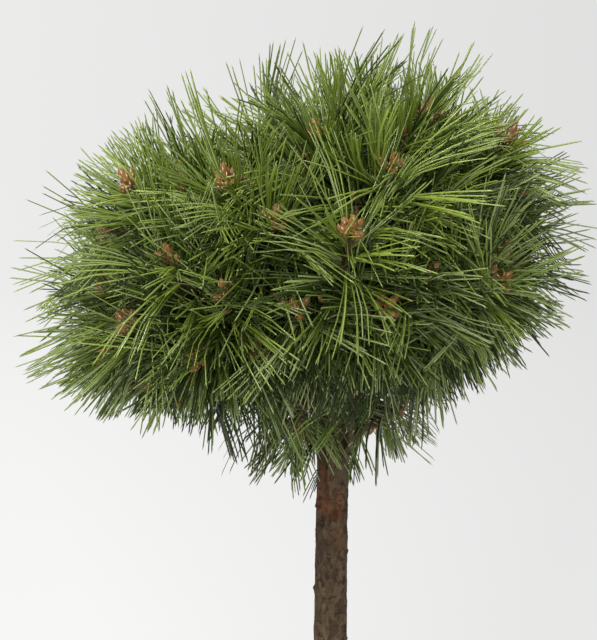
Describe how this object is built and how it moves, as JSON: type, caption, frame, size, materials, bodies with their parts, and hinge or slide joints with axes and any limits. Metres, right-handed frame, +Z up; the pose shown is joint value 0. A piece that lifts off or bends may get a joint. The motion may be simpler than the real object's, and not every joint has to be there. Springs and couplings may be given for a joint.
{
  "type": "dwarf pine grafted as a standard in a clay pot",
  "caption": "Long-needled dwarf pine with a dense domed crown, grafted on a clear upright stem and planted in a plain tapered clay pot that stands on its flat foot.",
  "frame": {"origin": "middle of the pot's flat underside", "axes": "+Z up along the stem, +X to the right as the picture shows the plant, +Y away from the viewer"},
  "size_m": [0.5285, 0.5125, 1.137],
  "materials": {
    "clay": "matt unglazed red clay",
    "soil": "moist dark potting mix with bark crumbs",
    "bark": "rough grey-brown bark with red-brown patches",
    "needles": "satin green needles with red-brown buds"
  },
  "bodies": {
    "root": {"pot": "clay", "soil": "soil", "trunk": "bark", "bough_top": "bark", "bough_upper_1": "bark", "bough_upper_2": "bark", "bough_upper_3": "bark", "bough_upper_4": "bark", "bough_upper_5": "bark", "bough_outer_1": "bark", "bough_outer_2": "bark", "bough_outer_3": "bark", "bough_outer_4": "bark", "bough_outer_5": "bark", "bough_outer_6": "bark", "bough_outer_7": "bark", "bough_outer_8": "bark", "foliage_top": "needles", "foliage_upper_1": "needles", "foliage_upper_2": "needles", "foliage_upper_3": "needles", "foliage_upper_4": "needles", "foliage_upper_5": "needles", "foliage_outer_1": "needles", "foliage_outer_2": "needles", "foliage_outer_3": "needles", "foliage_outer_4": "needles", "foliage_outer_5": "needles", "foliage_outer_6": "needles", "foliage_outer_7": "needles", "foliage_outer_8": "needles", "foliage_lower_1": "needles", "foliage_lower_2": "needles", "foliage_lower_3": "needles", "foliage_lower_4": "needles"}
  },
  "joints": []
}
